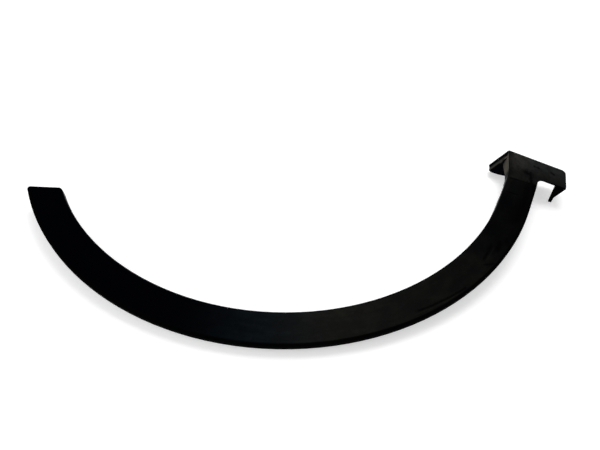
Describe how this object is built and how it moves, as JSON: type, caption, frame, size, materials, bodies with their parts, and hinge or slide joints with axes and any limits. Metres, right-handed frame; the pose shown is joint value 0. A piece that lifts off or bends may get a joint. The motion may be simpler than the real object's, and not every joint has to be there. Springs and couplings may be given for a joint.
{
  "type": "wheel arch trim",
  "caption": "Black moulded plastic trim strip that runs round a car's wheel opening, with a slanted tip, a return flange with screw ears and a foot that hooks round the end of the sill.",
  "frame": {"origin": "centre of the crown screw hole, on the wheel side of the flange", "axes": "+X along the car from the foot towards the tip, +Y up on the car towards the crown, +Z out of the outer face, so the trim lies flat with its outer face up"},
  "size_m": [0.7583, 0.4784, 0.055],
  "materials": {
    "moulding": "fine-grained black moulded plastic, worn, scuffed and dusty"
  },
  "bodies": {
    "root": {"arch_trim": "moulding"}
  },
  "joints": []
}
